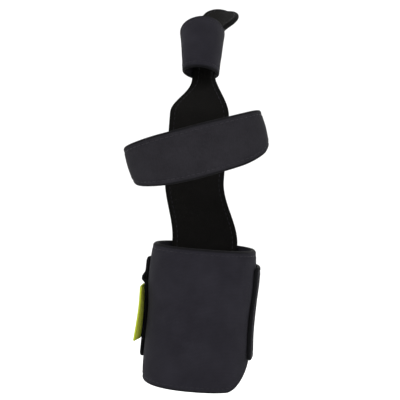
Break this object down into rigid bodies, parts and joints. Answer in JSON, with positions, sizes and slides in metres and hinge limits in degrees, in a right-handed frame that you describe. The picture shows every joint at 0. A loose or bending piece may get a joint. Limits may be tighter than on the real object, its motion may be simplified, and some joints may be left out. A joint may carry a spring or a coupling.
{
  "type": "finger splint",
  "caption": "Black fabric finger splint for a left hand: wrist band with closure and lime pull tab, palm strap, finger sleeve and palm-side panel",
  "frame": {"origin": "Middle of the wrist, at half the height of the wrist band, on the line of the forearm", "axes": "+X to the thumb side of a left hand, +Y to the palm side, +Z from the forearm to the fingers"},
  "size_m": [0.0872, 0.0946, 0.2318],
  "materials": {
    "knit": "matte knitted fabric on thin foam",
    "strap": "matte brushed loop fabric",
    "lime_fabric": "bright lime woven fabric",
    "panel": "matte lining fabric over a padded core"
  },
  "bodies": {
    "root": {"wrist_band": "knit", "closure_strap": "strap", "pull_tab": "lime_fabric", "palm_strap": "strap", "finger_sleeve": "knit", "palmar_splint": "panel"}
  },
  "joints": []
}
